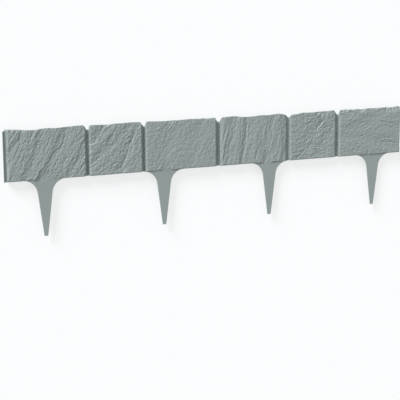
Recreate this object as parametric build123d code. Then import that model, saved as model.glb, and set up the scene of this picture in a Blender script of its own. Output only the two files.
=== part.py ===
from build123d import *
import math
import os

# A plastic lawn edging strip: one moulding of six cleft stones on a thin base plate,
# with four flat spikes below it. It lies on its back, stones up: X runs along the
# strip, Y towards the strip's top edge and Z out of the stone faces. All sizes are in
# millimetres. The outlines are drawn from a point near the strip's left end, on its
# bottom edge, and the heights from the rim that it lies on.

# Driving dimensions
length = 780.0
thickness = 14.0  # back rim to the highest parts of the stone faces
face_back = 10.8  # back rim to the inner side of the stone faces
base_thickness = 7.0  # back rim to the floors of the grooves
base_height = 79.0  # bottom edge to the base plate's top, seen in the grooves
wall = 2.5
rib = 2.0
edge_bevel = 1.8  # along the top and the sides of each stone

# Each stone but the last has a slanted right side, from just below its face down to the
# floor of the groove.
flank_top = 11.5
flank_widths = [4.0, 4.0, 4.0, 4.0, 5.0]
flank_overlap = 1.0

# A thin lip curls forward from the left end, and the next strip's end meets it.
lip_reach = 2.4  # left of the drawing's zero
lip_tip = 0.8  # its thickness at the tip
lip_turn = 52.0  # degrees that it has curled by at the tip
lip_root = 8.0  # back rim to its front where it leaves the first stone
lip_bottom = -0.5
lip_top = 85.4

spike_length = 97.5
spike_front = 12.0  # the spikes' front plane lies 2 mm behind the stone faces
spike_blade = 2.4
spike_root_half = 15.85
spike_tip_half = 3.3
spike_root_radius = 25.2
spike_bevel = 0.4  # round the front of the blade
blade_back_bevel = 1.2
root_overlap = 0.5
spike_rib = 2.4
spike_rib_depth = 4.2  # from the blade's back
spike_rib_ends = (-76.0, -84.0)  # where its back edge ends and where it meets the blade

middle_rib_height = 42.0
widest_pocket = 60.0  # between two upright ribs

spike_centres = [68.0, 286.5, 496.5, 719.5]

# The broken top edge of each stone, from its left side to its right side, as
# (distance along the strip, height). It is a thin crest: above the base plate the face
# has nothing behind it but the end walls.
top_edges = [
    [(3.4, 86.4), (6, 87.7), (13, 87.5), (26, 86.7), (32, 85.5), (45, 85.0), (54, 84.8),
     (66, 86.5), (73, 86.6), (91, 86.0), (104, 86.8), (116, 87.2), (129, 88.1),
     (138.0, 88.0), (141.8, 84.0)],
    [(148.4, 84.0), (150.4, 87.4), (171, 87.0), (183, 86.2), (196, 87.5), (209, 87.3),
     (217, 88.2), (231, 87.8), (241.5, 88.0), (245.0, 84.6)],
    [(252.1, 82.6), (254.8, 87.3), (276, 87.1), (287, 86.6), (304, 87.2), (314, 86.9),
     (336, 87.7), (356, 87.0), (363, 87.6), (370, 86.8), (385, 87.6), (388.2, 84.6)],
    [(396.8, 82.6), (399.4, 86.7), (404, 87.6), (423, 88.1), (432, 87.4), (438, 85.9),
     (453, 85.5), (467, 86.0), (477, 87.0), (486, 86.9), (492, 86.2), (502, 87.1),
     (514, 88.1), (522, 86.6), (529, 85.6), (532.6, 83.2)],
    [(538.8, 81.0), (541, 83.7), (545, 84.9), (553, 84.8), (565, 87.2), (577, 86.6),
     (585, 86.6), (597, 87.0), (612, 87.7), (618, 87.1), (624, 88.0), (632.8, 87.8),
     (635.7, 85.0)],
    [(643.8, 83.0), (646.4, 88.0), (666, 88.2), (678, 87.3), (686, 88.1), (690, 86.6),
     (697, 87.1), (707, 88.0), (727, 87.4), (737, 88.2), (762, 87.4), (770, 88.3),
     (780, 88.2)],
]
top_reach = max(height for edge in top_edges for _, height in edge)

# The main clefts of each stone's face, as (start, end, drop, run): the face drops on the
# right-hand side of the line from start to end, and climbs back over the run.
clefts = [
    [((-2, 40), (28, 92), 1.0, 22), ((24, -4), (66, 92), 1.1, 24),
     ((56, -2), (106, 90), 1.4, 30), ((100, -4), (150, 84), 1.1, 26)],
    [((200, 92), (146, 48), 1.1, 20), ((243, 90), (207, -4), 1.2, 26),
     ((196, 50), (146, 6), 1.0, 22)],
    [((316, 92), (284, -4), 0.9, 30), ((376, 92), (340, -4), 0.9, 32)],
    [((403, -4), (417, 92), 0.9, 24), ((436, -4), (448, 92), 1.8, 26),
     ((478, -4), (494, 92), 0.9, 24), ((534, 92), (534, -4), 2.0, 15)],
    [((622, 92), (568, -4), 1.2, 28), ((646, 80), (600, -4), 1.0, 24)],
    [((692, 94), (640, 68), 1.0, 12), ((775, 94), (640, 24), 1.1, 24),
     ((640, 46), (785, 19), 1.1, 18)],
]


def block(x0, x1, y0, y1, z0, z1):
    """A box between two corners."""
    size = (x1 - x0, y1 - y0, z1 - z0)
    return Pos(x0, y0, z0) * Box(*size, align=(Align.MIN, Align.MIN, Align.MIN))


def cleft(start, end, drop, run):
    """The wedge that a cleft takes off a stone's face."""
    along = Vector(*end) - Vector(*start)
    across = Vector(along.Y, -along.X)
    plane = Plane(Vector(*start), x_dir=across, z_dir=-along)
    top = thickness + 1
    section = Polyline((0, thickness - drop), (run, thickness), (run, top), (0, top),
                       (0, thickness - drop))
    return extrude(plane * make_face(section), -along.length)


def stone(edge, stone_clefts):
    """A stone's block, from the back rim to its cleft face, with bevelled top and sides."""
    left, right = edge[0][0], edge[-1][0]
    outline = Polyline((left, 0), *edge, (right, 0), (left, 0))
    body = extrude(make_face(outline), thickness)
    face_edges = body.faces().sort_by(Axis.Z)[-1].edges()
    bottom = face_edges.sort_by(Axis.Y)[0]
    body = chamfer([edge for edge in face_edges if edge != bottom], edge_bevel)
    for line in stone_clefts:
        body -= cleft(*line)
    return body


def flank(edge, width):
    """The slanted right side of a stone, cut off from its corner to the base plate's top."""
    right, corner = edge[-1]
    left = right - flank_overlap
    section = Polyline((left, base_thickness), (right + width, base_thickness),
                       (right, flank_top), (left, flank_top), (left, base_thickness))
    outline = Polyline((left, 0), (right + width, 0), (right + width, base_height),
                       (right, corner), (left, corner), (left, 0))
    side = extrude(Plane.XZ * make_face(section), -top_reach)
    return side & extrude(make_face(outline), thickness)


def behind_crests():
    """The room behind the stones' crests, between the strip's two end walls."""
    left, right = top_edges[0][0][0] + wall, length - wall
    return block(left, right, base_height, top_reach, 0, face_back)


def spike_outline(centre):
    """The flared outline of a spike.

    Its root reaches a little into the stone's bottom wall, so the two are one piece.
    """
    slope = math.atan2(spike_root_half - spike_tip_half, spike_length)
    flare = spike_root_half + spike_root_radius / math.tan((math.pi / 2 + slope) / 2)

    def on_arc(side, angle):
        return (side * (spike_root_radius * math.cos(angle) - flare),
                spike_root_radius * (math.sin(angle) - 1))

    angles = [math.pi / 2, (math.pi / 2 + slope) / 2, slope]
    left, right = ([on_arc(side, angle) for angle in angles] for side in (1, -1))
    tip = spike_tip_half
    line = Polyline(left[0], (-flare, root_overlap), (flare, root_overlap), right[0])
    line += ThreePointArc(*right) + ThreePointArc(*left)
    line += Polyline(right[2], (tip, -spike_length), (-tip, -spike_length), left[2])
    return Pos(centre, 0) * make_face(line)


def spike(centre):
    """A spike: a thin flat blade with bevelled edges, and a rib behind it."""
    back = spike_front - spike_blade
    blade = Pos(0, 0, back) * extrude(spike_outline(centre), spike_blade)
    faces = blade.faces().sort_by(Axis.Z)
    for face, bevel in ((faces[-1], spike_bevel), (faces[0], blade_back_bevel)):
        rim = [edge for edge in face.edges() if edge.center().Y < -root_overlap]
        blade = chamfer(rim, bevel)
    rib_back = back - spike_rib_depth
    side = Polyline((wall / 2, rib_back), (spike_rib_ends[0], rib_back),
                    (spike_rib_ends[1], back), (wall / 2, back), (wall / 2, rib_back))
    plane = Plane((centre - spike_rib / 2, 0, 0), x_dir=(0, 1, 0), z_dir=(1, 0, 0))
    return blade + extrude(plane * make_face(side), spike_rib)


def lip():
    """The curled lip: an arc in front, one behind, and a thin square tip."""
    left = top_edges[0][0][0]
    turn = math.radians(lip_turn)
    normal = (math.sin(turn), math.cos(turn))
    tip = (-lip_reach + lip_tip * normal[0], 0)
    radius = (left - tip[0]) / math.sin(turn)

    def on_arc(share, radius, foot):
        angle = turn * share
        return (left - radius * math.sin(angle), foot + radius * (1 - math.cos(angle)))

    front = [on_arc(share, radius, lip_root) for share in (0, 0.5, 1)]
    behind = (front[2][0] - lip_tip * normal[0], front[2][1] - lip_tip * normal[1])
    foot = (left, lip_root - wall)
    middle = ((behind[0] + foot[0]) / 2 + 0.4, (behind[1] + foot[1]) / 2 - 0.6)
    root = [(left + wall, foot[1]), (left + wall, lip_root)]
    line = ThreePointArc(*front) + Line(front[2], behind)
    line += ThreePointArc(behind, middle, foot)
    line += Polyline(foot, *root, front[0])
    section = Plane.XZ * make_face(line)
    return Pos(0, lip_bottom, 0) * extrude(section, lip_bottom - lip_top)


def rib_places():
    """Upright ribs: behind each spike and each groove, and others between them."""
    grooves = [(a[-1][0] + b[0][0]) / 2 for a, b in zip(top_edges, top_edges[1:])]
    fixed = sorted([top_edges[0][0][0], *spike_centres, *grooves, length])
    places = list(fixed[1:-1])
    for start, end in zip(fixed, fixed[1:]):
        parts = math.ceil((end - start) / widest_pocket)
        places += [start + (end - start) * k / parts for k in range(1, parts)]
    return sorted(places)


def hollow():
    """The open back: a pocket behind each stone, joined behind the grooves."""
    left, right = top_edges[0][0][0] + wall, length - wall
    inner = block(left, right, wall, base_height - wall, 0, base_thickness - wall)
    for edge in top_edges:
        left, right = edge[0][0] + wall, edge[-1][0] - wall
        inner += block(left, right, wall, base_height - wall, 0, face_back)
    for place in rib_places():
        inner -= block(place - rib / 2, place + rib / 2, 0, top_reach, 0, thickness)
    low, high = middle_rib_height - rib / 2, middle_rib_height + rib / 2
    return inner - block(0, length, low, high, 0, thickness)


def edging():
    """The whole moulding, drawn from its left end and bottom edge."""
    body = block(top_edges[0][0][0], length, 0, base_height, 0, base_thickness)
    body += lip()
    for edge, stone_clefts in zip(top_edges, clefts):
        body += stone(edge, stone_clefts)
    body -= hollow() + behind_crests()
    for edge, width in zip(top_edges, flank_widths):
        body += flank(edge, width)
    for centre in spike_centres:
        body += spike(centre)
    return body


# The origin is under the middle of the strip's box, on the floor that it lies on.
middle_y = (top_reach - spike_length) / 2
part = Pos(-(length - lip_reach) / 2, -middle_y, 0) * edging()

os.makedirs("parts", exist_ok=True)
export_step(part, "parts/edging.step")
print("ribs at", [round(place, 1) for place in rib_places()])
print("volume", round(part.volume), "size", part.bounding_box().size, "middle", middle_y)
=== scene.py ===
# A grey plastic lawn edging strip lying on its back: six moulded stones with a cleft
# relief on a thin base plate, and four ground spikes. Lengths are in millimetres,
# measured from a point near the strip's left end, from its bottom edge and from the
# back rim that it lies on.
import math

import bpy
import numpy as np
from mathutils import Matrix, Vector


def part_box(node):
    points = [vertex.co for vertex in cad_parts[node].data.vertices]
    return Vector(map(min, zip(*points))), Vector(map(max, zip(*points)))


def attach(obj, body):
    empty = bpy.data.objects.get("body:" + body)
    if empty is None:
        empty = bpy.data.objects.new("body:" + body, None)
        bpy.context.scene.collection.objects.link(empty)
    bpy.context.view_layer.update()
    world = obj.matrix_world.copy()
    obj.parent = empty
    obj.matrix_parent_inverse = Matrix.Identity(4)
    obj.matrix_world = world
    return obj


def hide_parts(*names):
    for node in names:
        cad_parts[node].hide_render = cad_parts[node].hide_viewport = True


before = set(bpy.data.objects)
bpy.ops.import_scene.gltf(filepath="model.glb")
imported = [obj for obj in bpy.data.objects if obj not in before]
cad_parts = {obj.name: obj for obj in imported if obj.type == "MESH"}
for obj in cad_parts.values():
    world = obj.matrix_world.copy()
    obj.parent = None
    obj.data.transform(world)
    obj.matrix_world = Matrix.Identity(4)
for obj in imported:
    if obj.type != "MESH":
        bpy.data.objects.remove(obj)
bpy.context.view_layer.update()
mm = 0.001

strip = {
    "length": 780.0,
    "faceBack": 10.8,           # back rim to the inner side of the stone faces
    "sideLeast": 0.4,           # the least height of the side just below a face's rim
    "wallRows": 6,              # rows of points down a wall
    "baseThickness": 7.0,       # back rim to the floors of the grooves
    "baseHeight": 79.0,
    "topReach": 88.28,          # just inside the highest point of the broken edges
    "wall": 2.5,
    "rib": 2.0,
    "draft": 0.25,              # how much a rib widens towards its root, each side
    "crestDraft": 0.5,          # fall of a crest's back, down to the base plate's top
    "gap": 0.12,                # keeps ribs and floors just inside the stones' walls
    "sunk": 0.4,                # how far ribs run into the faces or blades that they carry
    "floorSunk": 0.5,           # the same under the floors of the grooves
    "middleRib": 42.0,
    "widestPocket": 60.0,
    "spikeCentres": [68.0, 286.5, 496.5, 719.5],
    "spikeLength": 97.5,
    "spikeFront": 12.0,
}
lip = {
    "reach": 2.4,               # how far it stands out beyond the first stone
    "tip": 0.8,                 # its thickness at the tip
    "turn": 52.0,               # degrees that it has curled by at the tip
    "root": 8.0,                # back rim to its front where it leaves the stone
    "bottom": -0.5, "top": 85.4,
    "arcPoints": 13, "rows": 60,
}
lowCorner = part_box("edging")[0]
leftEnd = lowCorner.x + lip["reach"] * mm
bottomEdge = lowCorner.y + strip["spikeLength"] * mm


def place(points):
    # strip millimetres to metres in the frame
    return np.asarray(points, float) * mm + np.array([leftEnd, bottomEdge, 0.0])


def addMesh(name, points, faces, sharpAngle):
    # one mesh piece at the origin from strip points and faces, smooth between sharp edges
    mesh = bpy.data.meshes.new(name)
    mesh.from_pydata(place(points).tolist(), [], faces)
    mesh.validate()
    mesh.shade_smooth()
    mesh.set_sharp_from_angle(angle=math.radians(sharpAngle))
    piece = bpy.data.objects.new(name, mesh)
    bpy.context.collection.objects.link(piece)
    return piece


def ease(t):
    # quintic ease, flat at both ends
    return t * t * t * (t * (t * 6 - 15) + 10)


def slopeNoise(x, y, seed):
    # random slopes at whole-number points, blended by the quintic ease, about -1 to 1
    angles = np.random.default_rng(seed).uniform(0, 2 * np.pi, (64, 64))
    cellX, cellY = np.floor(x).astype(int), np.floor(y).astype(int)
    partX, partY = x - cellX, y - cellY

    def corner(stepX, stepY):
        angle = angles[(cellX + stepX) % 64, (cellY + stepY) % 64]
        return np.cos(angle) * (partX - stepX) + np.sin(angle) * (partY - stepY)

    easeX, easeY = ease(partX), ease(partY)
    low = corner(0, 0) * (1 - easeX) + corner(1, 0) * easeX
    high = corner(0, 1) * (1 - easeX) + corner(1, 1) * easeX
    return 1.5 * (low * (1 - easeY) + high * easeY)


def layeredNoise(x, y, seed, layers=3, fade=0.5):
    # each layer twice as fine and fade times as strong as the one before
    total = np.zeros_like(x)
    for layer in range(layers):
        total += fade ** layer * slopeNoise(x * 2 ** layer, y * 2 ** layer, seed + layer)
    return total


def smoothStep(t):
    # cubic step, 0 below 0 and 1 above 1
    t = np.clip(t, 0, 1)
    return t * t * (3 - 2 * t)


def lineDistance(x, y, points):
    # distance to a broken line, negative on its left, and the share of its length
    points = np.asarray(points, float)
    lengths = np.hypot(*np.diff(points, axis=0).T)
    nearest = np.full(x.shape, 1e9)
    side = np.ones(x.shape)
    share = np.zeros(x.shape)
    done = 0.0
    for (x0, y0), (x1, y1), size in zip(points, points[1:], lengths):
        along = ((x - x0) * (x1 - x0) + (y - y0) * (y1 - y0)) / size
        across = ((x - x0) * (y1 - y0) - (y - y0) * (x1 - x0)) / size
        kept = np.clip(along, 0, size)
        distance = np.hypot(across, along - kept)
        closer = distance < nearest
        nearest = np.where(closer, distance, nearest)
        side = np.where(closer, np.sign(across), side)
        share = np.where(closer, (done + kept) / lengths.sum(), share)
        done += size
    return nearest * side, share


# What the six stones have in common. A bevel is (width, slope, unevenness of its width),
# and a wander is how far a drawn line strays.
face = {
    "level": 13.55,               # where no cleft lowers it
    "highest": 13.98,             # no relief passes the strip's thickness
    "gridStep": 0.55,             # spacing of the relief's points
    "rowsHeight": 86.0,           # the height that the number of rows is worked out for
    "topBevel": (0.2, 1.2, 0.4),
    "bottomBevel": (1.1, 0.7, 0.3),
    "leftUneven": 0.5, "rightUneven": 0.4,
    "flankColumns": 8,            # columns of points down a flank
    "aboveLine": 0.5,             # the broken top edge over its drawn line, between nicks
    "edgeWidth": 1.1,             # a drawn edge's step, the share of its line that it fades
    "edgeFade": 0.12,             # over at each end, and its mean strength
    "edgeStrength": 1.3,
    "plateSharp": 0.3,            # share of a plate that slopes, and how far plates are
    "plateFlat": 0.5,             # levelled; then the same for splinters
    "splinterSharp": 0.5,
    "splinterFlat": 0.3,
    "patchMean": 0.8,             # mean strength of splinters and fine roughness
    "leanSide": (-0.65, 0.76),    # lumps lean to the upper left
    "chipEnds": 3.0,              # over what length a chip starts and ends
}

# The noises of the relief: height, length and width in millimetres, step from the stone's
# seed, number of layers, and how strong each finer layer is against the one before. The
# sizes of plates and splinters are each stone's own, and so are the heights of waves,
# leaning, lumps and fine roughness.
noises = {
    "nicks": (0.45, 5.0, 1.0, 90, 3, 0.5),
    "ragged": (1.0, 6, 6, 17, 1, 1.0),
    "chips": (0.9, 7, 5, 61, 2, 0.5),
    "cleftWander": (1.2, 9, 9, 13, 1, 1.0),
    "edgeWander": (0.8, 4, 4, 15, 2, 0.5),
    "edgeBreaks": (0.5, 3.5, 3.5, 16, 1, 1.0),
    "grainAcross": (2.0, 22, 16, 1, 1, 1.0),
    "grainAlong": (3.0, 9, 9, 19, 1, 1.0),
    "swell": (0.2, 45, 35, 2, 1, 1.0),
    "plates": (2.2, 1, 1, 3, 3, 0.45),
    "splinters": (1.6, 1, 1, 29, 3, 0.6),
    "patches": (0.5, 24, 20, 5, 1, 1.0),
    "waves": (1.0, 50, 11, 43, 2, 0.5),
    "leaning": (1.0, 6, 6, 37, 2, 0.6),
    "lumps": (1.0, 6, 6, 37, 3, 0.6),
    "fine": (1.0, 3.4, 1.9, 9, 2, 0.6),
}

# Where a stone's face dips to a spike's plane, its relief fades out around its bottom edge.
dip = {
    "ends": 5.0,                  # over what length a dip starts and ends
    "slope": 0.05,                # rise of the face above the edge
    "depth": 0.55,                # mean depth of the relief below the face's level
    "below": 7.0, "fade": 14.0,   # where the relief ends, and the height it fades over
}

# Each stone: its broken top edge from left to right; the bevels of its left and right
# sides as (width, slope); the width of its slanted right flank, down to the floor of the
# groove; the way its grain runs in degrees, and how strong each kind of relief is in
# millimetres. Waves, plates and splinters run along the grain, and lumps lean by up to
# the given length towards the strip's upper left. A cleft, as (start, end, drop, run),
# lowers the face on the right of a line from start to end by its drop, over a width of
# soft, and the face climbs back over its run. An edge, as (rise, reach, line), is drawn
# upwards or to the right: the face steps up by rise from the line's left side to its
# right side, or down if rise is negative, and levels out within its reach. A dip lowers
# the face to the spike's plane between two places at the bottom edge, and its relief runs
# out over the spike's root there. A chip is broken off below the top edge: its two ends,
# its height and its slope.
stones = [
    {"top": [(3.4, 86.4), (6, 87.7), (13, 87.5), (26, 86.7), (32, 85.5), (45, 85.0), (54, 84.8),
             (66, 86.5), (73, 86.6), (91, 86.0), (104, 86.8), (116, 87.2), (129, 88.1),
             (138.0, 88.0), (141.8, 84.0)],
     "seed": 11, "grain": 61, "flank": 4.2, "left": (2.9, 0.48), "right": (1.7, 1.5),
     "plates": 0.26, "plateSize": (40, 9), "splinters": 0.36, "splinterSize": (13, 3.2),
     "waves": 0.30, "lumps": 0.25, "lean": 0.5, "fine": 0.36, "soft": 12,
     "chips": [(8, 38, 3.5, 0.4)],
     "clefts": [((-2, 40), (28, 92), 1.0, 22), ((24, -4), (66, 92), 1.1, 24),
                ((56, -2), (106, 90), 1.4, 30), ((100, -4), (150, 84), 1.1, 26)],
     "edges": [(1.0, 3, [(9, 68), (15, 75), (21, 85)]), (0.8, 3, [(4, 55), (9, 66), (13, 72)]),
               (0.6, 3, [(4, 70), (10, 82)]), (1.3, 3, [(42, 61), (46, 69), (50, 76), (56, 86)]),
               (0.6, 4, [(32, 55), (39, 66)]), (0.8, 3, [(27, 35), (30, 46), (32, 52)]),
               (0.5, 3, [(33, 44), (37, 50)]), (0.7, 4, [(38, 38), (43, 46), (49, 56)]),
               (0.8, 4, [(4, 11), (8, 26), (15, 38)]), (0.6, 3, [(19, 27), (23, 37)]),
               (0.5, 4, [(43, 3), (51, 14)]), (0.5, 3, [(48, 2), (56, 15)]),
               (0.6, 2.5, [(57, 20), (61, 30)]), (0.5, 2.5, [(61, 48), (66, 56)]),
               (0.6, 3, [(88, 38), (96, 47), (103, 60)]), (1.0, 2.5, [(103, 27), (110, 35)]),
               (0.6, 2.5, [(112, 29), (118, 37)]), (1.4, 2, [(117, 27), (122, 31)]),
               (0.5, 3, [(119, 33), (127, 42)]), (1.4, 3, [(130, 60), (139, 69)]),
               (0.6, 3, [(125, 57), (135, 63)]), (1.5, 3, [(130, 20), (135, 28), (140, 37)]),
               (1.0, 3, [(128, 5), (138, 20)]), (0.7, 2.5, [(87, 1), (95, 11)]),
               (0.5, 2.5, [(70, 2), (76, 9)]), (1.1, 2, [(115, 1), (119, 6)]),
               (1.0, 2, [(121, 1), (126, 6)]), (0.5, 3, [(72, 69), (79, 79)]),
               (0.5, 2.5, [(71, 16), (77, 22)]), (0.5, 3, [(108, 62), (116, 78)]),
               (-1.9, 3.5, [(51, -1), (57, 10), (61, 18)]),
               (-0.8, 3.5, [(73, 27), (80, 39), (84, 46), (90, 50.5), (96, 54), (100, 63),
                          (103, 71), (104, 87)]),
               (-0.7, 3, [(29, 11), (36, 25)]), (-0.6, 3, [(19, 49), (23, 58), (27, 66)]),
               (-0.7, 2, [(4, 28), (8, 39)]), (-0.6, 2, [(40, 64), (43, 72)]),
               (-0.8, 8, [(22, 66), (26, 78), (30, 87)]), (-0.6, 4, [(50, 68), (55, 76), (59, 86)]),
               (-0.5, 2, [(56, 19), (59, 28)]), (-0.6, 2, [(66, 48), (71, 59)]),
               (-0.5, 3, [(80, 59), (86, 71)]), (-0.7, 3, [(83, 21), (91, 34)]),
               (-0.6, 4, [(5, -1), (10, 13)]), (-0.4, 6, [(114, 12), (124, 28)]),
               (-0.5, 6, [(126, 29), (137, 47)])],
     "dips": [(55, 106)]},
    {"top": [(148.4, 84.0), (150.2, 87.4), (171, 87.0), (183, 86.2), (196, 87.5), (209, 87.3),
             (217, 88.2), (231, 87.8), (241.5, 88.0), (245.0, 84.6)],
     "seed": 23, "grain": 50, "flank": 5.5, "left": (2.9, 0.48), "right": (1.5, 1.5),
     "plates": 0.16, "plateSize": (22, 12), "splinters": 0.18, "splinterSize": (8, 4),
     "waves": 0.30, "lumps": 0.5, "lean": 1.5, "fine": 0.32, "soft": 12,
     "chips": [(171, 190, 5, 0.3)],
     "clefts": [((200, 92), (146, 48), 1.1, 20), ((243, 90), (207, -4), 1.2, 26),
                ((196, 50), (146, 6), 1.0, 22)],
     "edges": [(1.5, 5, [(147, 51), (152, 54), (158, 56), (166, 59), (172, 60)]),
               (1.0, 4, [(160, 59), (165, 66), (171, 74), (174, 80)]),
               (1.6, 4, [(172, 79), (176, 82), (182, 85), (191, 89)]),
               (0.9, 3, [(186, 53), (191, 60), (193, 68), (195, 75)]),
               (1.0, 2, [(185, 54), (190, 58)]), (0.9, 2, [(192, 71), (196, 74)]),
               (0.7, 3, [(150, 42), (157, 43)]), (1.1, 5, [(150, 19), (158, 22), (163, 27), (166, 31)]),
               (0.5, 4, [(166, 31), (170, 38), (173, 47)]), (0.6, 3, [(150, 11), (159, 18)]),
               (0.8, 3, [(183, 20), (190, 22)]), (1.2, 2.5, [(188, 14), (198, 19)]),
               (1.1, 4, [(206, 7), (212, 17), (216, 25), (219, 37), (222, 47), (227, 57),
                         (232, 67)]),
               (0.8, 3, [(226, 50), (230, 61), (235, 71)]), (1.0, 3, [(210, 53), (217, 56), (223, 62)]),
               (0.7, 2, [(229, 22), (235, 18)]), (0.5, 3, [(199, 41), (205, 49)]),
               (0.5, 3, [(173, 56), (179, 57)]), (0.5, 3, [(198, 1), (205, 11)]),
               (0.6, 2.5, [(215, 63), (224, 69)]), (0.5, 3, [(185, 4), (197, 8)]),
               (0.5, 3, [(210, 2), (218, 14)]), (-0.7, 5, [(179, 56), (183, 66), (191, 72)]),
               (-0.6, 3, [(202, 34), (209, 42)]), (-0.6, 3, [(203, 10), (209, 26)]),
               (-0.6, 3, [(194, 76), (198, 88)]), (-0.5, 3, [(158, 37), (165, 46)]),
               (-0.5, 4, [(236, 24), (241, 40)])],
     "dips": []},
    {"top": [(252.1, 83.2), (254.3, 87.6), (276, 87.1), (287, 86.6), (304, 87.2), (314, 86.9),
             (336, 87.7), (356, 87.0), (363, 87.6), (370, 86.8), (385, 87.6), (388.2, 84.6)],
     "seed": 37, "grain": 60, "flank": 4.9, "left": (2.9, 0.46), "right": (1.5, 1.5),
     "plates": 0.1, "plateSize": (34, 16), "splinters": 0.1, "splinterSize": (8, 5),
     "waves": 0.15, "lumps": 0.38, "lean": 1.5, "fine": 0.24, "soft": 26,
     "chips": [(292, 305, 4, 0.25)],
     "clefts": [((316, 92), (284, -4), 0.9, 30), ((376, 92), (340, -4), 0.9, 32)],
     "edges": [(1.3, 3, [(292, 71), (299, 78), (303, 83), (307, 89)]),
               (0.8, 2, [(306, 80), (311, 88)]), (0.9, 2.5, [(294, 26), (299, 31), (304, 38)]),
               (0.6, 2.5, [(302, 31), (309, 39)]), (0.7, 2.5, [(320, 24), (327, 33)]),
               (0.6, 2, [(315, 29), (320, 30.5)]), (0.8, 4, [(360, 69), (363, 77), (369, 88)]),
               (0.8, 3, [(350, 75), (361, 76)]), (0.5, 3, [(339, 77), (343, 87)]),
               (0.5, 3, [(340, 62), (347, 67)]), (0.6, 3, [(354, 58), (358, 67)]),
               (0.8, 3, [(379, 38), (385, 51)]), (0.6, 2.5, [(372, 24), (378, 26)]),
               (0.7, 2.5, [(376, 21), (383, 23)]), (0.8, 3, [(273, 3), (280, 8)]),
               (1.1, 2.5, [(253, 57), (259, 61)]), (0.5, 3, [(264, 7), (270, 17)]),
               (0.5, 2.5, [(271, 75), (281, 78)]), (0.5, 4, [(258, 69), (263, 87)]),
               (-0.7, 3, [(273, 69), (279, 75)]), (-0.5, 3, [(371, 26), (377, 30)]),
               (-0.7, 2, [(295, 1), (298, 5)]), (-0.4, 4, [(286, 48), (290, 62)]),
               (-0.4, 4, [(300, 12), (307, 20)])],
     "dips": [(281, 302)]},
    {"top": [(396.8, 82.6), (399.4, 86.7), (404, 87.6), (423, 88.1), (432, 87.4), (438, 85.9),
             (453, 85.5), (467, 86.0), (477, 87.0), (486, 86.9), (492, 86.2), (502, 87.1),
             (514, 88.1), (522, 86.6), (529, 85.6), (532.6, 83.2)],
     "seed": 41, "grain": 78, "flank": 5.2, "left": (3.9, 0.42), "right": (2.2, 1.2),
     "plates": 0.3, "plateSize": (50, 8), "splinters": 0.30, "splinterSize": (16, 3.3),
     "waves": 0.45, "lumps": 0.24, "lean": 0.5, "fine": 0.32, "soft": 10,
     "chips": [(427, 434, 6, 0.3)],
     "clefts": [((403, -4), (417, 92), 0.9, 24), ((436, -4), (448, 92), 1.8, 26),
                ((478, -4), (494, 92), 0.9, 24), ((535, 92), (535, -4), 2.6, 16)],
     "edges": [(-1.1, 3, [(400, 8), (404, 28), (406, 40), (409, 50), (413, 66)]),
               (0.7, 3, [(400, 34), (404, 48), (409, 64), (412, 74)]),
               (0.8, 3, [(412, 26), (418, 40), (422, 52)]), (0.7, 3, [(420, 61), (428, 69)]),
               (0.6, 3, [(428, 68), (431, 86)]), (0.5, 3, [(410, 3), (416, 16)]),
               (-0.6, 4, [(434, -1), (437, 10), (439, 20), (442, 34)]),
               (0.7, 6, [(443, 10), (447, 32), (450, 48), (452, 78)]),
               (-0.6, 3, [(431, 24), (434, 40), (437, 56)]), (0.6, 3, [(453, 56), (459, 68)]),
               (0.7, 2.5, [(453, 50), (459, 55)]), (0.6, 2.5, [(462, 49), (468, 55)]),
               (1.0, 3, [(467, 2), (471, 16), (475, 30)]), (0.7, 3, [(473, 35), (480, 43)]),
               (0.5, 4, [(481, 42), (484, 60), (488, 80)]),
               (0.6, 4, [(498, 26), (501, 46), (503, 60), (505, 72), (507, 86)]),
               (-0.8, 3, [(494, 54), (497, 70), (499, 88)]), (0.7, 2.5, [(506, 15), (511, 21)]),
               (-0.8, 2.5, [(504, 9), (510, 13)]), (0.7, 3, [(510, 26), (514, 40), (517, 52)]),
               (0.6, 3, [(523, 56), (527, 76)]), (-0.6, 3, [(515, 74), (519, 88)]),
               (0.6, 2.5, [(449, 1), (456, 7)]), (0.6, 2.5, [(469, 1), (477, 5)]),
               (-1.0, 5, [(518, -1), (521, 20), (525, 48)]), (0.6, 3, [(491, 1), (497, 16)])],
     "dips": [(481, 503)]},
    {"top": [(538.8, 81.0), (541, 83.7), (545, 84.9), (553, 84.8), (565, 87.2), (577, 86.6),
             (585, 86.6), (597, 87.0), (612, 87.7), (618, 87.1), (624, 88.0), (632.8, 87.8),
             (635.7, 85.0)],
     "seed": 53, "grain": 12, "flank": 6.5, "left": (2.4, 0.42), "right": (1.5, 1.5),
     "plates": 0.08, "plateSize": (14, 10), "splinters": 0.1, "splinterSize": (7, 4.5),
     "waves": 0.20, "lumps": 0.56, "lean": 1.6, "fine": 0.3, "soft": 30,
     "chips": [(592, 616, 6, 0.22)],
     "clefts": [((622, 92), (568, -4), 1.2, 28), ((646, 80), (600, -4), 1.0, 24)],
     "edges": [(2.0, 3, [(594, 54), (601, 59), (606, 65), (611, 70)]),
               (1.2, 2.5, [(599, 53), (607, 57)]), (1.7, 2.5, [(596, 74.5), (606, 76)]),
               (1.4, 3, [(611, 53), (616, 58), (623, 57)]), (1.6, 3, [(627, 52), (635, 57)]),
               (1.7, 3, [(552, 1), (558, 5), (565, 10), (571, 17)]),
               (1.2, 2.5, [(556, 19), (565, 21.5)]), (1.2, 2.5, [(587, 21), (603, 21)]),
               (1.4, 2.5, [(585, 18), (591, 16), (597, 15)]),
               (1.2, 3, [(572, 30), (579, 37)]), (1.3, 2, [(575, 44), (580, 45.5)]),
               (1.2, 2.5, [(575, 61), (583, 68)]), (1.0, 2.5, [(575, 57), (580, 61)]),
               (0.9, 2.5, [(595, 29), (601, 33)]), (1.0, 2, [(587, 4), (593, 6)]),
               (1.0, 3, [(613, 77), (618, 86)]), (0.9, 3, [(593, 81), (605, 86)]),
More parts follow.
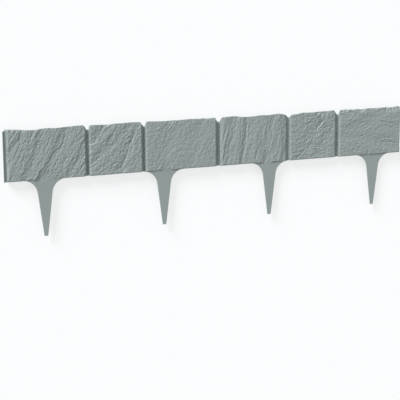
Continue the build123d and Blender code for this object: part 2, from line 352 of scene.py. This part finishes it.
               (0.9, 2.5, [(621, 39), (629, 45)]), (0.9, 2.5, [(549, 43), (555, 42)]),
               (0.7, 3, [(606, 27), (612, 31)]), (-0.8, 3, [(579, 26), (585, 36), (589, 44)]),
               (-0.7, 6, [(560, 60), (568, 70)]), (-0.6, 3, [(583, 7), (589, 9.5)]),
               (-0.5, 3, [(575, 65), (581, 74)]), (-0.5, 4, [(604, 40), (610, 52)]),
               (-0.5, 3, [(549, 66), (562, 68)])],
     "dips": []},
    {"top": [(643.8, 83.0), (646.4, 88.0), (666, 88.2), (678, 87.3), (686, 88.1), (690, 86.6),
             (697, 87.1), (707, 88.0), (727, 87.4), (737, 88.2), (762, 87.4), (770, 88.3),
             (780, 88.2)],
     "seed": 67, "grain": -5, "flank": 0.0, "left": (2.9, 0.46), "right": (1.6, 0.7),
     "plates": 0.2, "plateSize": (30, 9), "splinters": 0.22, "splinterSize": (12, 3.4),
     "waves": 0.20, "lumps": 0.28, "lean": 1.4, "fine": 0.26, "soft": 30,
     "chips": [(646, 676, 6, 0.45), (682, 702, 6, 0.45), (708, 738, 3, 0.4),
               (744, 780, 7, 0.4)],
     "clefts": [((692, 94), (640, 68), 1.0, 12), ((775, 94), (640, 24), 1.1, 24),
                ((640, 46), (785, 19), 1.1, 18)],
     "edges": [(1.0, 2.5, [(659, 71), (669, 72.5)]), (0.6, 2.5, [(645, 71), (656, 81)]),
               (0.6, 2.5, [(654, 57), (665, 67)]), (0.9, 2.5, [(685, 54), (691, 58), (698, 61)]),
               (0.9, 3, [(699, 49), (705, 50), (711, 54)]), (0.9, 2, [(719, 52), (726, 53)]),
               (1.0, 3, [(737, 26), (745, 29), (753, 28), (761, 26), (771, 23)]),
               (-0.8, 2.5, [(756, 25), (766, 21), (773, 18)]), (0.7, 2.5, [(758, 27), (766, 28.5)]),
               (0.8, 2.5, [(733, 10), (740, 8), (747, 10.5)]), (0.6, 3, [(726, 12), (737, 13)]),
               (1.0, 2, [(674, 8), (682, 9)]), (0.6, 2.5, [(683, 6), (695, 8)]),
               (0.5, 2.5, [(690, 27), (698, 26)]), (0.5, 2.5, [(716, 36), (727, 37)]),
               (0.5, 2.5, [(692, 36), (700, 36)]), (-0.6, 4, [(724, 67), (745, 62), (768, 59)]),
               (-0.6, 3, [(689, 39), (697, 37)]), (-0.5, 2.5, [(672, 12), (679, 14)]),
               (-0.6, 3, [(740, 26), (746, 21)]), (0.5, 3, [(676, 22), (690, 21)]),
               (-0.4, 3, [(650, 46), (664, 44)]), (0.7, 2.5, [(684, 81), (690, 83)]),
               (0.7, 2.5, [(744, 79), (752, 81)])],
     "dips": [(703, 713)]},
]


def noise(name, x, y, stone):
    # one of the noises above, at its own height and sizes
    height, long, wide, seedStep, layers, fade = noises[name]
    return height * layeredNoise(x / long, y / wide, stone["seed"] + seedStep, layers, fade)


def topLine(x, stone):
    # the broken top edge at x, uneven about the drawn line, and inside the strip's box
    drawn = np.interp(x, *np.array(stone["top"], float).T)
    oneRow = np.full_like(x, 0.37)
    nicks = np.abs(noise("nicks", x, oneRow, stone))
    return np.minimum(drawn + face["aboveLine"] - nicks, strip["topReach"])


def steps(field, sharp):
    # a field cut into level plates with short slopes of the given share between them
    whole = np.floor(field)
    return whole + smoothStep((field - whole - 0.5 + sharp / 2) / sharp)


def cleftDepth(x, y, stone):
    # the deepest of the wedges that the clefts take off the face: each is its drop times
    # a smooth step across its uneven line, and runs out evenly over its run
    depth = np.zeros(x.shape)
    wander = noise("cleftWander", x, y, stone)
    for (x0, y0), (x1, y1), drop, run in stone["clefts"]:
        size = math.hypot(x1 - x0, y1 - y0)
        right = ((x - x0) * (y1 - y0) - (y - y0) * (x1 - x0)) / size + wander
        wedge = drop * smoothStep(right / stone["soft"] + 0.5) * np.clip(1 - right / run, 0, 1)
        depth = np.maximum(depth, wedge)
    return depth


def edgeSteps(x, y, stone):
    # the sum of the drawn edges: each is its rise times a smooth step across its uneven
    # line, weaker with the distance from it and fading out at both its ends
    total = np.zeros(x.shape)
    wander = noise("edgeWander", x, y, stone)
    broken = face["edgeStrength"] + noise("edgeBreaks", x, y, stone)
    fade = face["edgeFade"]
    for rise, reach, points in stone["edges"]:
        distance, share = lineDistance(x, y, points)
        ends = smoothStep(share / fade) * smoothStep((1 - share) / fade)
        distance = distance + wander
        step = smoothStep(distance / face["edgeWidth"] + 0.5) - 0.5
        total += rise * broken * ends * step * np.exp(-np.abs(distance) / reach)
    return total


def relief(x, y, stone):
    # height of the stone's face: its level less the clefts, plus the drawn edges and a slow
    # swell, then plates and thin splinters along the grain, which are noise cut into steps,
    # and last waves, lumps and fine roughness, which are plain noise
    turn = math.radians(stone["grain"])
    along = x * math.cos(turn) + y * math.sin(turn)
    across = y * math.cos(turn) - x * math.sin(turn)
    across = across + noise("grainAcross", along, across, stone)
    along = along + noise("grainAlong", x, y, stone)
    height = face["level"] - cleftDepth(x, y, stone) + edgeSteps(x, y, stone)
    height += noise("swell", x, y, stone)
    long, wide = stone["plateSize"]
    plates = noise("plates", along / long, across / wide, stone)
    height += stone["plates"] * (steps(plates, face["plateSharp"]) - face["plateFlat"] * plates)
    long, wide = stone["splinterSize"]
    splinters = noise("splinters", along / long, across / wide, stone)
    patch = face["patchMean"] + noise("patches", x, y, stone)
    cut = steps(splinters, face["splinterSharp"]) - face["splinterFlat"] * splinters
    height += stone["splinters"] * patch * cut
    height += stone["waves"] * noise("waves", along, across, stone)
    lean = stone["lean"] * noise("leaning", x, y, stone)
    leanX, leanY = face["leanSide"]
    height += stone["lumps"] * noise("lumps", x - leanX * lean, y - leanY * lean, stone)
    height += stone["fine"] * patch * noise("fine", along, across, stone)
    return height


def chipDepth(x, below, stone):
    # what is broken off below the top edge: deepest at the edge, and less by the chip's
    # slope down to its uneven height
    depth = np.zeros(x.shape)
    uneven = 1 + noise("chips", x, below, stone)
    reach = face["chipEnds"]
    for start, end, height, slope in stone["chips"]:
        share = smoothStep((x - start) / reach) * smoothStep((end - x) / reach)
        depth += slope * share * np.clip(height * uneven - below, 0, height)
    return depth


def dipShare(x, stone):
    # 1 in the middle of a dip, easing to 0 at its ends
    share = np.zeros(np.shape(x))
    reach = dip["ends"]
    for start, end in stone["dips"]:
        eased = smoothStep((x - start) / reach) * smoothStep((end - x) / reach)
        share = np.maximum(share, eased)
    return share


def fadingRelief(y, height):
    # the relief about its mean depth, fading out from above the bottom edge to below it
    return (height - face["level"] + dip["depth"]) * smoothStep((y + dip["below"]) / dip["fade"])


def dipped(x, y, height, stone):
    # in a dip the face falls to a ramp that rises slowly from the spike's plane, wherever
    # the face is above that ramp
    rise = dip["slope"] * np.clip(y, 0, None)
    ramp = strip["spikeFront"] + rise + fadingRelief(y, height)
    return np.where(ramp < height, height + dipShare(x, stone) * (ramp - height), height)


def bevelDepth(bevel, ragged, away):
    # what a bevel takes off at a distance away from its edge: its slope times how far that
    # is inside its uneven width
    width, slope, uneven = bevel
    return slope * np.clip(width + uneven * ragged - away, 0, None)


def faceGrid(stone):
    # the face's points, even from side to side and from the bottom edge to the broken top
    # edge, and even columns down the flank, whose top falls to the base plate's top; and
    # the top edge's height at each point
    left, right = stone["top"][0][0], stone["top"][-1][0]
    columns = int(round((right - left) / face["gridStep"]))
    rows = int(round(face["rowsHeight"] / face["gridStep"]))
    u, v = np.meshgrid(np.linspace(0, 1, columns + 1), np.linspace(0, 1, rows + 1))
    x = left + (right - left) * u
    top = topLine(x, stone)
    y = v * top
    z = dipped(x, y, relief(x, y, stone), stone)
    ragged = noise("ragged", x, y, stone)
    z -= bevelDepth((*stone["left"], face["leftUneven"]), ragged, x - left)
    z -= bevelDepth((*stone["right"], face["rightUneven"]), ragged, right - x)
    z -= bevelDepth(face["topBevel"], ragged, top - y)
    z -= chipDepth(x, top - y, stone)
    z -= bevelDepth(face["bottomBevel"], ragged, y) * (1 - dipShare(x, stone))
    z = np.minimum(z, face["highest"])
    if stone["flank"]:
        t = np.linspace(0, 1, face["flankColumns"] + 1)[1:]
        footX, footY = x[:, -1:] + stone["flank"], v[:, -1:] * strip["baseHeight"]
        x = np.concatenate([x, x[:, -1:] * (1 - t) + footX * t], 1)
        y = np.concatenate([y, y[:, -1:] * (1 - t) + footY * t], 1)
        z = np.concatenate([z, z[:, -1:] * (1 - t) + strip["baseThickness"] * t], 1)
        top = np.concatenate([top, top[:, -1:] * (1 - t) + strip["baseHeight"] * t], 1)
    return np.stack([x, y, z], -1), top


def stoneShell(index, stone):
    # the face, a thin crest with nothing behind it above the base plate, then walls down
    # to the rim, the rim, the inner walls and the flat ceiling of the hollow back
    grid, top = faceGrid(stone)
    points = grid.reshape(-1, 3)
    order = np.arange(len(points)).reshape(grid.shape[:2])
    quads = np.stack([order[:-1, :-1], order[:-1, 1:], order[1:, 1:], order[1:, :-1]], -1)
    loop = np.concatenate([order[0, :-1], order[:-1, -1], order[-1, :0:-1], order[:0:-1, 0]])
    count = len(loop)
    rim = points[loop]
    share = rim[:, 1] / top.reshape(-1)[loop]
    wall, base = strip["wall"], strip["baseHeight"]
    # the crest's sides, then its back, which stands only as far as the base plate's top
    # but at the strip's two end walls, where it follows the rim but for the lowest points
    crest = rim.copy()
    crest[:, 2] = np.minimum(strip["faceBack"], rim[:, 2] - strip["sideLeast"])
    endWall = (rim[:, 0] < stones[0]["top"][0][0] + wall) | (rim[:, 0] > strip["length"] - wall)
    foot = crest.copy()
    foot[:, 1] = share * np.where(endWall, rim[:, 1] / np.maximum(share, 0.01), base)
    foot[:, 2] -= strip["crestDraft"]
    levels = np.linspace(1, 0, strip["wallRows"] + 1)[1:, None]
    walls = np.repeat(foot[None], strip["wallRows"], 0)
    walls[..., 2] = foot[:, 2] * levels
    left, right = stone["top"][0][0], stone["top"][-1][0]
    low, high = left + wall, right - wall
    innerX = low + (high - low) * np.minimum(rim[:, 0] - left, right - left) / (right - left)
    inner = np.stack([innerX, wall + (base - 2 * wall) * share, innerX * 0], -1)
    ceiling = inner.copy()
    ceiling[:, 2] = strip["faceBack"]
    centre = np.array([[(low + high) / 2, strip["middleRib"], ceiling[0, 2]]])
    below = [crest, foot, *walls, inner, ceiling]
    faces = quads.reshape(-1, 4).tolist()
    rings = [loop] + [len(points) + count * k + np.arange(count) for k in range(len(below))]
    for upper, lower in zip(rings, rings[1:]):
        faces += np.stack([lower, np.roll(lower, -1), np.roll(upper, -1), upper], -1).tolist()
    last = rings[-1]
    middle = np.full(count, last[-1] + 1)
    faces += np.stack([last, middle, np.roll(last, -1)], -1).tolist()
    allPoints = np.concatenate([points, *below, centre])
    return addMesh("mouldedStone%d" % (index + 1), allPoints, faces, sharpAngle=55)


print("stones")
stonePieces = [stoneShell(index, stone) for index, stone in enumerate(stones)]


def rectangle(x0, x1, y0, y1, z):
    # its corners at one level, anticlockwise seen from the stone side
    return [(x0, y0, z), (x1, y0, z), (x1, y1, z), (x0, y1, z)]


def bar(x0, x1, y0, y1, z0, z1, draftX=0.0, draftY=0.0):
    # a bar's corners, wider at its top by the draft on each side
    low = rectangle(x0, x1, y0, y1, z0)
    return low + rectangle(x0 - draftX, x1 + draftX, y0 - draftY, y1 + draftY, z1)


def joinBars(name, bars):
    # closed bars in one mesh, each by its four lower and four upper corners
    sides = [(3, 2, 1, 0), (4, 5, 6, 7), (0, 1, 5, 4), (1, 2, 6, 5), (2, 3, 7, 6), (3, 0, 4, 7)]
    points, faces = [], []
    for corners in bars:
        faces += [tuple(len(points) + corner for corner in side) for side in sides]
        points += corners
    return addMesh(name, points, faces, sharpAngle=30)


def tubeFaces(order, turned=False):
    # quads between closed rings of points, and a face over each end
    first, second = order[:-1], order[1:]
    sides = [first, second, np.roll(second, -1, 1), np.roll(first, -1, 1)]
    ends = [order[0].tolist(), order[-1][::-1].tolist()]
    if turned:
        sides = [sides[k] for k in (0, 3, 2, 1)]
        ends = [end[::-1] for end in ends]
    return np.stack(sides, -1).reshape(-1, 4).tolist() + ends


def ribPlaces():
    # behind each spike and each groove, and others between them
    grooves = [(a["top"][-1][0] + b["top"][0][0]) / 2 for a, b in zip(stones, stones[1:])]
    fixed = sorted([stones[0]["top"][0][0], *strip["spikeCentres"], *grooves, strip["length"]])
    places = list(fixed[1:-1])
    for start, end in zip(fixed, fixed[1:]):
        parts = math.ceil((end - start) / strip["widestPocket"])
        places += [start + (end - start) * k / parts for k in range(1, parts)]
    return sorted(places), grooves


def backBars():
    # upright ribs from the rim to the faces or to the grooves' floors, and one rib along
    # each stone
    places, grooves = ribPlaces()
    roof = strip["faceBack"] + strip["sunk"]
    under = strip["baseThickness"] - strip["wall"]
    half, inset = strip["rib"] / 2, strip["wall"] / 2
    top, gap = strip["baseHeight"] - inset, strip["gap"]
    bars = []
    for x in places:
        level = under + strip["floorSunk"] if x in grooves else roof
        bars.append(bar(x - half, x + half, inset, top, gap, level, strip["draft"]))
    for stone in stones:
        left, right = stone["top"][0][0] + inset, stone["top"][-1][0] - inset
        middle = strip["middleRib"]
        bars.append(bar(left, right, middle - half, middle + half, gap, roof, 0, strip["draft"]))
    return bars


def plateBars():
    # floors of the grooves with their rims below
    under = strip["baseThickness"] - strip["wall"]
    wall, inset = strip["wall"], strip["wall"] / 2
    half, middle, gap = strip["rib"] / 2, strip["middleRib"], strip["gap"]
    top = strip["baseHeight"] - gap
    bars = []
    for a, b in zip(stones, stones[1:]):
        left, right = a["top"][-1][0] - inset, b["top"][0][0] + inset
        bars.append(bar(left, right, gap, top, under, strip["baseThickness"]))
        bars.append(bar(left + gap, right - gap, 2 * gap, wall, gap, under + gap))
        bars.append(bar(left + gap, right - gap, top - wall, top - gap, gap, under + gap))
        bars.append(bar(left + gap, right - gap, middle - half, middle + half, gap, under + gap))
    return bars


def lipPiece():
    # the curled lip's section, an arc in front and one behind, carried up the left end
    left, turn = stones[0]["top"][0][0], math.radians(lip["turn"])
    radius = (left + lip["reach"] - lip["tip"] * math.sin(turn)) / math.sin(turn)
    angle = np.linspace(0, turn, lip["arcPoints"])
    thick = np.linspace(strip["wall"], lip["tip"], lip["arcPoints"])
    frontX = left - radius * np.sin(angle)
    frontZ = lip["root"] + radius * (1 - np.cos(angle))
    backX, backZ = frontX - thick * np.sin(angle), frontZ - thick * np.cos(angle)
    root = left + strip["wall"] / 2
    sectionX = np.concatenate([[root], frontX, backX[::-1], [root]])
    sectionZ = np.concatenate([[frontZ[0]], frontZ, backZ[::-1], [backZ[0]]])
    sectionX = np.maximum(sectionX, -lip["reach"])
    y = np.linspace(lip["bottom"], lip["top"], lip["rows"])[:, None]
    points = np.stack([sectionX + 0 * y, y + 0 * sectionX, sectionZ + 0 * y], -1)
    order = np.arange(points.size // 3).reshape(points.shape[:2])
    return addMesh("endLip", points.reshape(-1, 3), tubeFaces(order), sharpAngle=50)


print("back")
backPiece = joinBars("backRibs", backBars())
platePiece = joinBars("basePlate", plateBars())
lipMesh = lipPiece()


spikeShape = {
    "blade": 2.4,                    # its thickness
    "rootHalf": 15.85, "tipHalf": 3.3,
    "rootRadius": 25.2,              # of the flare under the stones
    "inStone": (0.8, 0.4),           # the first rows, up in the stone's wall
    "frontRound": 0.5, "backBevel": 1.2, "tipRadius": 0.6,
    "flareRows": 30, "taperRows": 40, "tipRows": 6, "roundPoints": 5, "frontPoints": 62,
    "ribBack": 5.4,                  # strip's back rim to the rib's back edge
    "ribRoot": 2.8, "ribEdge": 2.0,  # its thickness at the blade and at its back edge
    "ribTop": 2.0,
    "ribEnds": (-76.0, -84.0),       # where its back edge ends and where it meets the blade
}


def spikeRows():
    # (y, half width) down the spike: the root arc by angle, then the straight taper
    s = spikeShape
    slope = math.atan2(s["rootHalf"] - s["tipHalf"], strip["spikeLength"])
    flare = s["rootHalf"] + s["rootRadius"] / math.tan((math.pi / 2 + slope) / 2)
    angle = np.arccos(1 - np.linspace(0, 1, s["flareRows"]) * (1 - math.sin(slope)))
    arcY = -s["rootRadius"] * (1 - np.cos(angle))
    arcHalf = flare - s["rootRadius"] * np.sin(angle)
    tipStart = -strip["spikeLength"] + s["tipRadius"]
    straightY = np.linspace(arcY[-1], tipStart, s["taperRows"])[1:]
    straightHalf = s["rootHalf"] + straightY * math.tan(slope)
    turn = np.linspace(0, math.pi / 2, s["tipRows"])[1:]
    tipY = -strip["spikeLength"] + s["tipRadius"] * (1 - np.sin(turn))
    tipHalf = s["tipHalf"] - s["tipRadius"] * (1 - np.cos(turn))
    y = np.concatenate([s["inStone"], arcY, straightY, tipY])
    half = np.concatenate([[flare, flare], arcHalf, straightHalf, tipHalf])
    return y, half


def rootRelief(x, y):
    # what the stone above leaves of its relief on the spike's root
    total = np.zeros(x.shape)
    for stone in stones:
        total += fadingRelief(y, relief(x, y, stone)) * dipShare(x, stone)
    return total


def spikePiece(index, centre):
    # a blade section with rounded front corners and bevelled back ones, carried down
    s = spikeShape
    y, half = spikeRows()
    front = strip["spikeFront"]
    back = front - s["blade"]
    turn = np.linspace(0, math.pi / 2, s["roundPoints"])
    cornerX = s["frontRound"] * (1 - np.cos(turn))
    cornerZ = front - s["frontRound"] * (1 - np.sin(turn))
    left = [(s["backBevel"], back), (0, back + s["backBevel"]), *zip(cornerX, cornerZ)]
    flat = np.linspace(-1, 1, s["frontPoints"])[1:-1]
    lines = [(inset - half, level) for inset, level in left]
    lines += [((half - s["frontRound"]) * share, front) for share in flat]
    lines += [(half - inset, level) for inset, level in left[::-1]]
    columns = [np.stack([centre + across, y, level + 0 * y], -1) for across, level in lines]
    points = np.stack(columns, 1)
    level = points[:, len(left):-len(left)]
    level[..., 2] += rootRelief(level[..., 0], level[..., 1])
    order = np.arange(points.size // 3).reshape(points.shape[:2])
    faces = tubeFaces(order, turned=True)
    return addMesh("spike%d" % (index + 1), points.reshape(-1, 3), faces, sharpAngle=30)


def spikeRib(centre):
    # a drafted rib behind the blade, its back edge ending before it meets the blade
    s = spikeShape
    edge, root = s["ribEdge"] / 2, s["ribRoot"] / 2
    edgeEnd, rootEnd = s["ribEnds"]
    deep = strip["spikeFront"] - s["blade"] + strip["sunk"]
    low = rectangle(centre - edge, centre + edge, edgeEnd, s["ribTop"], s["ribBack"])
    return low + rectangle(centre - root, centre + root, rootEnd, s["ribTop"], deep)


print("spikes")
spikePieces = [spikePiece(index, centre) for index, centre in enumerate(strip["spikeCentres"])]
spikeRibs = joinBars("spikeRibs", [spikeRib(centre) for centre in strip["spikeCentres"]])


def colour(hexText):
    # sRGB hex to linear
    parts = [int(hexText[k:k + 2], 16) / 255 for k in (1, 3, 5)]
    return [p / 12.92 if p <= 0.04045 else ((p + 0.055) / 1.055) ** 2.4 for p in parts] + [1.0]


def node(tree, kind, settings=None, links=None):
    # adds a node, sets its attributes or inputs, and links its inputs
    made = tree.nodes.new(kind)
    for key, value in (settings or {}).items():
        if isinstance(key, str) and hasattr(made, key):
            setattr(made, key, value)
        else:
            made.inputs[key].default_value = value
    for key, source in (links or {}).items():
        tree.links.new(source, made.inputs[key])
    return made


plastic = {
    "light": "#8F9998", "dark": "#8B9594",   # the ends of its faint clouding
    "clouds": 60.0,                          # their size
    "grain": 0.45,                           # the mould's grain: by guess 0.1 mm on the
    "grainDepth": 0.08,                      # real strip, drawn coarser to show close up
    "bump": 0.3,                             # how strongly it is drawn
    "matt": 0.86, "polished": 0.74,          # roughness, uneven in the same way
    "refraction": 1.49,
    "shine": 0.22,                           # the eroded surface mirrors little
}


def mouldedPolypropylene():
    # grey polypropylene moulded in a spark-eroded tool: faint clouding where the melt
    # flowed, and a fine matt grain that breaks up every highlight
    material = bpy.data.materials.new("mouldedPolypropylene")
    material.use_nodes = True
    tree = material.node_tree
    tree.nodes.clear()
    where = node(tree, "ShaderNodeTexCoord").outputs["Object"]
    cloudScale, grainScale = 1 / (plastic["clouds"] * mm), 1 / (plastic["grain"] * mm)
    clouds = node(tree, "ShaderNodeTexNoise", {"Scale": cloudScale, "Detail": 5.0},
                  {"Vector": where}).outputs["Fac"]
    tone = node(tree, "ShaderNodeMix", {"data_type": "RGBA"}, {0: clouds})
    tone.inputs[6].default_value = colour(plastic["dark"])
    tone.inputs[7].default_value = colour(plastic["light"])
    sheen = node(tree, "ShaderNodeMapRange", {3: plastic["polished"], 4: plastic["matt"]},
                 {0: clouds})
    grain = node(tree, "ShaderNodeTexNoise", {"Scale": grainScale, "Detail": 3.0},
                 {"Vector": where})
    bump = node(tree, "ShaderNodeBump",
                {"Strength": plastic["bump"], "Distance": plastic["grainDepth"] * mm},
                {"Height": grain.outputs["Fac"]})
    shader = node(tree, "ShaderNodeBsdfPrincipled",
                  {"IOR": plastic["refraction"], "Specular IOR Level": plastic["shine"]},
                  {"Base Color": tone.outputs[2], "Roughness": sheen.outputs[0],
                   "Normal": bump.outputs["Normal"]})
    node(tree, "ShaderNodeOutputMaterial", None, {"Surface": shader.outputs["BSDF"]})
    return material


print("plastic")
plasticMaterial = mouldedPolypropylene()
pieces = stonePieces + [backPiece, platePiece, lipMesh] + spikePieces + [spikeRibs]
for piece in pieces:
    piece.data.materials.append(plasticMaterial)
    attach(piece, "root")
    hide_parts("edging")


paperFloor = {
    "colour": "#F2F5F8",
    "glow": 0.7,            # share of plain white in what the camera sees of it
    "reach": 6.0,           # metres to each side
}


def paleFloor():
    # white paper: bright to the eye, so that the soft shadow stays faint, and yet it
    # throws no more light on the strip than its colour does
    material = bpy.data.materials.new("paleFloor")
    material.use_nodes = True
    tree = material.node_tree
    tree.nodes.clear()
    path = node(tree, "ShaderNodeLightPath")
    mirrored = node(tree, "ShaderNodeMath", {"operation": "ADD"},
                    {0: path.outputs["Is Camera Ray"], 1: path.outputs["Is Glossy Ray"]})
    seen = node(tree, "ShaderNodeMath", {"operation": "ADD", "use_clamp": True},
                {0: mirrored.outputs[0], 1: path.outputs["Is Transmission Ray"]})
    shade = node(tree, "ShaderNodeBsdfDiffuse", {"Color": colour(paperFloor["colour"])})
    glow = node(tree, "ShaderNodeEmission", {"Color": (1, 1, 1, 1)})
    share = node(tree, "ShaderNodeMath", {"operation": "MULTIPLY", 1: paperFloor["glow"]},
                 {0: seen.outputs[0]})
    both = node(tree, "ShaderNodeMixShader", None,
                {0: share.outputs[0], 1: shade.outputs[0], 2: glow.outputs[0]})
    node(tree, "ShaderNodeOutputMaterial", None, {"Surface": both.outputs[0]})
    return material


print("floor, light and camera")
floorMesh = bpy.data.meshes.new("floor")
reach = paperFloor["reach"]
floorMesh.from_pydata(rectangle(-reach, reach, -reach, reach, 0), [], [(0, 1, 2, 3)])
floor = bpy.data.objects.new("floor", floorMesh)
bpy.context.collection.objects.link(floor)
floorMesh.materials.append(paleFloor())

light = {
    "sky": 0.558,             # share of the light that comes from all round
    "key": 0.455,             # share that comes from the key light, on the faces
    "from": (-0.65, 0.76),    # the key light's side, seen along the faces: left and above
    "rise": 20.0,             # its height over the stone faces, in degrees
    "spread": 23.0,           # how wide it is seen from the strip, in degrees
}


def addKeyLight():
    # a far soft light, so that the strip is lit alike from end to end
    rise = math.radians(light["rise"])
    side = Vector((*light["from"], 0)).normalized()
    source = side * math.cos(rise) + Vector((0, 0, math.sin(rise)))
    lampData = bpy.data.lights.new("keyLight", "SUN")
    lampData.angle = math.radians(light["spread"])
    lampData.energy = light["key"] * math.pi / math.sin(rise)
    lamp = bpy.data.objects.new("keyLight", lampData)
    bpy.context.collection.objects.link(lamp)
    lamp.rotation_euler = source.to_track_quat("Z", "Y").to_euler()


addKeyLight()
scene = bpy.context.scene
world = bpy.data.worlds.new("paleRoom")
scene.world = world
world.use_nodes = True
world.node_tree.nodes["Background"].inputs["Color"].default_value = (1, 1, 1, 1)
world.node_tree.nodes["Background"].inputs["Strength"].default_value = light["sky"]

# The photograph's camera, solved from the strip's outline: it stands left of the
# stones, a little above, and looks at them down its own axis.
lens = {
    "focalPixels": 1179.1, "pictureWidth": 400, "yaw": 24.546, "pitch": 10.776, "roll": -0.28,
    "left": -509.6, "above": 337.2, "away": 1907.0,
    "sensor": 36.0,
    "farthest": 50.0,       # metres
}


def addCamera():
    # turned by yaw about the strip's upright, by pitch down and by roll about its axis
    yaw, pitch, roll = (math.radians(lens[key]) for key in ("yaw", "pitch", "roll"))
    level = Vector((math.sin(yaw), 0, -math.cos(yaw)))
    upright = Vector((0, 1, 0))
    right = Vector((math.cos(yaw), 0, math.sin(yaw)))
    forward = level * math.cos(pitch) - upright * math.sin(pitch)
    up = level * math.sin(pitch) + upright * math.cos(pitch)
    turnedRight = right * math.cos(roll) + up * math.sin(roll)
    turnedUp = up * math.cos(roll) - right * math.sin(roll)
    cameraData = bpy.data.cameras.new("camera")
    cameraData.sensor_width = lens["sensor"]
    cameraData.lens = lens["sensor"] * lens["focalPixels"] / lens["pictureWidth"]
    cameraData.clip_end = lens["farthest"]
    camera = bpy.data.objects.new("camera", cameraData)
    bpy.context.collection.objects.link(camera)
    axes = Matrix((turnedRight, turnedUp, -forward)).transposed().to_4x4()
    axes.translation = Vector(place([lens["left"], lens["above"], lens["away"]]))
    camera.matrix_world = axes
    scene.camera = camera


addCamera()
scene.view_settings.view_transform = "Standard"

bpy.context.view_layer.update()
triangles = sum(len(piece.data.loops) - 2 * len(piece.data.polygons) for piece in pieces)
print("pieces", len(pieces), "triangles", triangles)
